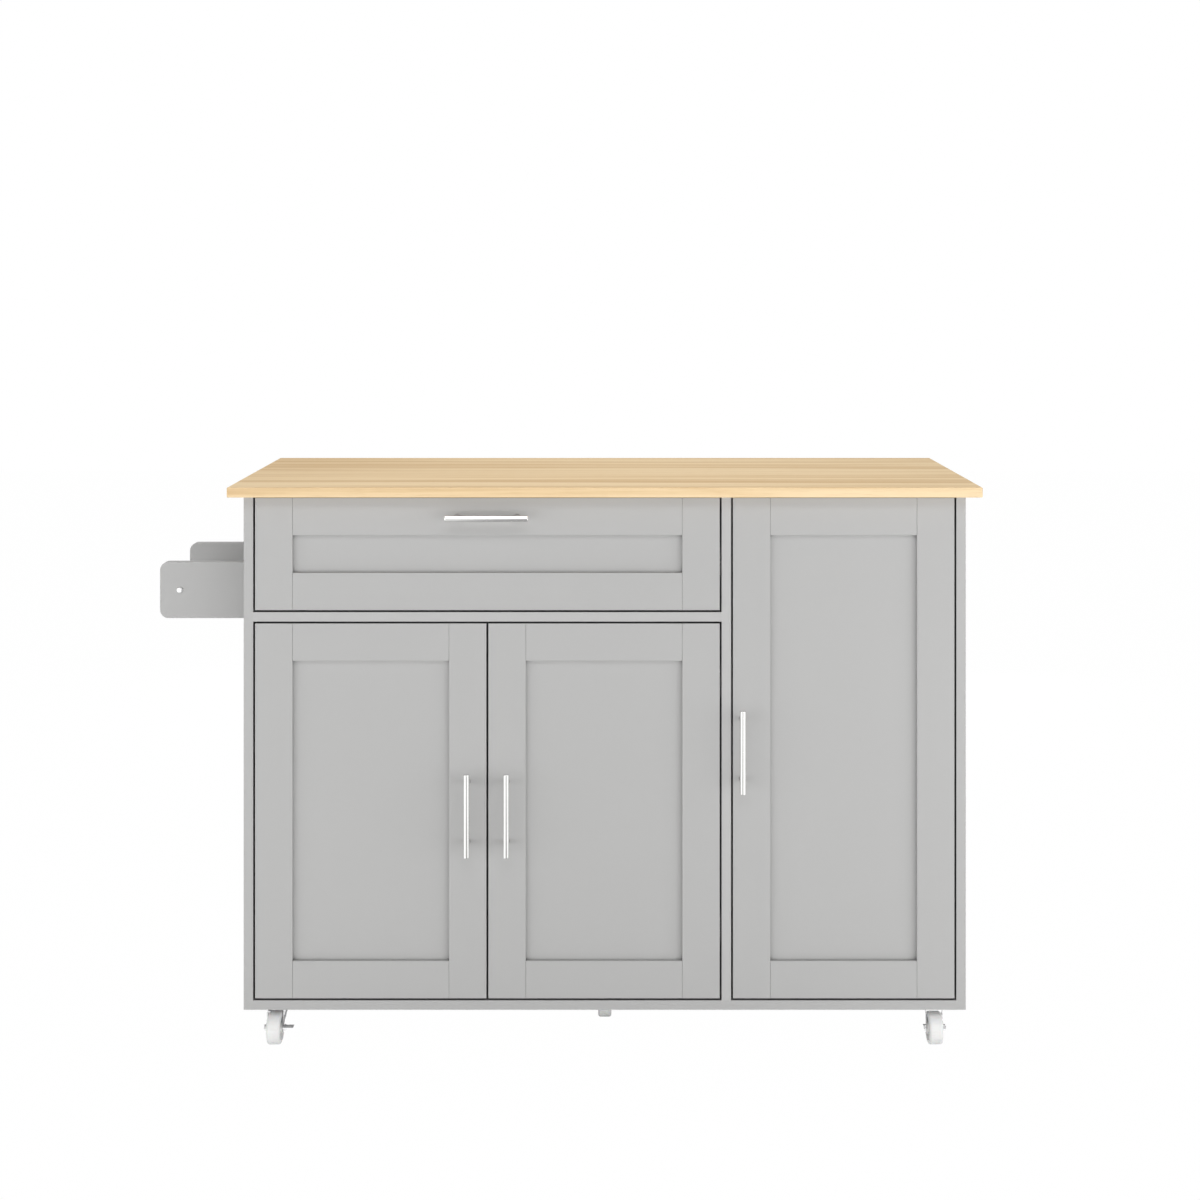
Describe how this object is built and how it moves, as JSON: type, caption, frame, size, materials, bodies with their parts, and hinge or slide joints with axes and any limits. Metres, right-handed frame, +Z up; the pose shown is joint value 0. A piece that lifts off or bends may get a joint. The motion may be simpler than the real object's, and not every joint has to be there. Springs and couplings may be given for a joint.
{
  "type": "rolling kitchen island",
  "caption": "Kitchen island on castors with a wood worktop, a drawer, a pair of doors, a tall door with shelves behind them, and a side towel rack.",
  "frame": {"origin": "on the floor, under the middle of the whole outline, towel rack and handles included", "axes": "+X to the right along the front, +Y from the front to the back, +Z up"},
  "size_m": [1.3356, 0.4595, 0.9],
  "materials": {
    "worktop_wood": "clear satin lacquer over solid wood, grain along the length",
    "grey_paint": "satin grey paint over fibreboard",
    "grey_board": "light grey melamine board",
    "drawer_wood": "plain pale board, sealed",
    "rack_rod_metal": "satin grey paint over a wooden dowel",
    "handle_metal": "satin nickel plate, fine grain round the bar",
    "zinc_steel": "bright zinc plate",
    "fastener_steel": "zinc plated screw",
    "castor_steel": "bright plated pressed steel",
    "wheel_nylon": "pale grey nylon",
    "brake_steel": "plated pressed steel",
    "shelf_pin_steel": "nickel plated pin"
  },
  "bodies": {
    "cabinet": {"worktop": "worktop_wood", "side_panel_left": "grey_paint", "side_panel_right": "grey_paint", "divider_panel": "grey_board", "floor_panel": "grey_paint", "drawer_deck": "grey_board", "back_panels": "grey_board", "top_stretchers": "grey_board", "carcass_screws": "fastener_steel", "cam_fittings": "zinc_steel", "cupboard_shelf": "grey_board", "tall_cupboard_shelves": "grey_board", "shelf_pins": "shelf_pin_steel", "rack_bracket_front": "grey_paint", "rack_bracket_rear": "grey_paint", "rack_rod": "rack_rod_metal", "rack_screws": "fastener_steel", "hinge_arms": "zinc_steel", "hinge_plates": "zinc_steel", "runner_outer_members": "zinc_steel", "castor_plates": "castor_steel", "castor_screws": "fastener_steel"},
    "drawer": {"drawer_front_stiles": "grey_paint", "drawer_front_rails": "grey_paint", "drawer_front_panel": "grey_paint", "drawer_handle": "handle_metal", "drawer_sides": "drawer_wood", "drawer_inner_front": "drawer_wood", "drawer_back": "drawer_wood", "drawer_bottom": "drawer_wood", "drawer_front_screws": "fastener_steel", "runner_drawer_members": "zinc_steel"},
    "drawer_runners": {"runner_middle_members": "zinc_steel"},
    "left_door": {"door_left_stiles": "grey_paint", "door_left_rails": "grey_paint", "door_left_panel": "grey_paint", "door_left_handle": "handle_metal", "door_left_hinge_cups": "zinc_steel"},
    "centre_door": {"door_centre_stiles": "grey_paint", "door_centre_rails": "grey_paint", "door_centre_panel": "grey_paint", "door_centre_handle": "handle_metal", "door_centre_hinge_cups": "zinc_steel"},
    "tall_door": {"door_tall_stiles": "grey_paint", "door_tall_rails": "grey_paint", "door_tall_panel": "grey_paint", "door_tall_handle": "handle_metal", "door_tall_hinge_cups": "zinc_steel"},
    "front_left_castor_fork": {"castor_front_left_fork": "castor_steel"},
    "front_left_castor_wheel": {"castor_front_left_wheel": "wheel_nylon"},
    "front_left_castor_brake": {"castor_front_left_brake": "brake_steel"},
    "front_right_castor_fork": {"castor_front_right_fork": "castor_steel"},
    "front_right_castor_wheel": {"castor_front_right_wheel": "wheel_nylon"},
    "rear_left_castor_fork": {"castor_rear_left_fork": "castor_steel"},
    "rear_left_castor_wheel": {"castor_rear_left_wheel": "wheel_nylon"},
    "rear_right_castor_fork": {"castor_rear_right_fork": "castor_steel"},
    "rear_right_castor_wheel": {"castor_rear_right_wheel": "wheel_nylon"},
    "rear_right_castor_brake": {"castor_rear_right_brake": "brake_steel"},
    "middle_castor_fork": {"castor_middle_fork": "castor_steel"},
    "middle_castor_wheel": {"castor_middle_wheel": "wheel_nylon"}
  },
  "joints": [
    {"name": "drawer_slide", "type": "slide", "parent": "cabinet", "child": "drawer", "axis": [0, -1, 0], "range_m": [0, 0.3]},
    {"name": "drawer_runner_slide", "type": "slide", "parent": "cabinet", "child": "drawer_runners", "axis": [0, -1, 0], "range_m": [0, 0.15]},
    {"name": "left_door_hinge", "type": "hinge", "parent": "cabinet", "child": "left_door", "pos_m": [-0.47675, -0.18875, 0.38], "axis": [0, 0, -1], "range_deg": [0, 98]},
    {"name": "centre_door_hinge", "type": "hinge", "parent": "cabinet", "child": "centre_door", "pos_m": [0.23675, -0.18875, 0.38], "axis": [0, 0, 1], "range_deg": [0, 98]},
    {"name": "tall_door_hinge", "type": "hinge", "parent": "cabinet", "child": "tall_door", "pos_m": [0.61225, -0.18875, 0.4805], "axis": [0, 0, 1], "range_deg": [0, 98]},
    {"name": "front_left_castor_swivel", "type": "hinge", "parent": "cabinet", "child": "front_left_castor_fork", "pos_m": [-0.46275, -0.15975, 0.054], "axis": [0, 0, 1], "continuous": true},
    {"name": "front_left_castor_roll", "type": "hinge", "parent": "front_left_castor_fork", "child": "front_left_castor_wheel", "pos_m": [-0.46275, -0.17775, 0.025], "axis": [1, 0, 0], "continuous": true},
    {"name": "front_left_castor_brake_lift", "type": "hinge", "parent": "front_left_castor_fork", "child": "front_left_castor_brake", "pos_m": [-0.46275, -0.15175, 0.042], "axis": [-1, 0, 0], "range_deg": [0, 8]},
    {"name": "front_right_castor_swivel", "type": "hinge", "parent": "cabinet", "child": "front_right_castor_fork", "pos_m": [0.59825, -0.15975, 0.054], "axis": [0, 0, 1], "continuous": true},
    {"name": "front_right_castor_roll", "type": "hinge", "parent": "front_right_castor_fork", "child": "front_right_castor_wheel", "pos_m": [0.59825, -0.17775, 0.025], "axis": [1, 0, 0], "continuous": true},
    {"name": "rear_left_castor_swivel", "type": "hinge", "parent": "cabinet", "child": "rear_left_castor_fork", "pos_m": [-0.46275, 0.16925, 0.054], "axis": [0, 0, 1], "continuous": true},
    {"name": "rear_left_castor_roll", "type": "hinge", "parent": "rear_left_castor_fork", "child": "rear_left_castor_wheel", "pos_m": [-0.46275, 0.15125, 0.025], "axis": [1, 0, 0], "continuous": true},
    {"name": "rear_right_castor_swivel", "type": "hinge", "parent": "cabinet", "child": "rear_right_castor_fork", "pos_m": [0.59825, 0.16925, 0.054], "axis": [0, 0, 1], "continuous": true},
    {"name": "rear_right_castor_roll", "type": "hinge", "parent": "rear_right_castor_fork", "child": "rear_right_castor_wheel", "pos_m": [0.59825, 0.15125, 0.025], "axis": [1, 0, 0], "continuous": true},
    {"name": "rear_right_castor_brake_lift", "type": "hinge", "parent": "rear_right_castor_fork", "child": "rear_right_castor_brake", "pos_m": [0.59825, 0.17725, 0.042], "axis": [-1, 0, 0], "range_deg": [0, 8]},
    {"name": "middle_castor_swivel", "type": "hinge", "parent": "cabinet", "child": "middle_castor_fork", "pos_m": [0.06775, -0.05575, 0.054], "axis": [0, 0, 1], "continuous": true},
    {"name": "middle_castor_roll", "type": "hinge", "parent": "middle_castor_fork", "child": "middle_castor_wheel", "pos_m": [0.06775, -0.07375, 0.025], "axis": [1, 0, 0], "continuous": true}
  ],
  "couplings": [
    {"joint": "drawer_runner_slide", "follows": "drawer_slide", "ratio": 0.5}
  ]
}
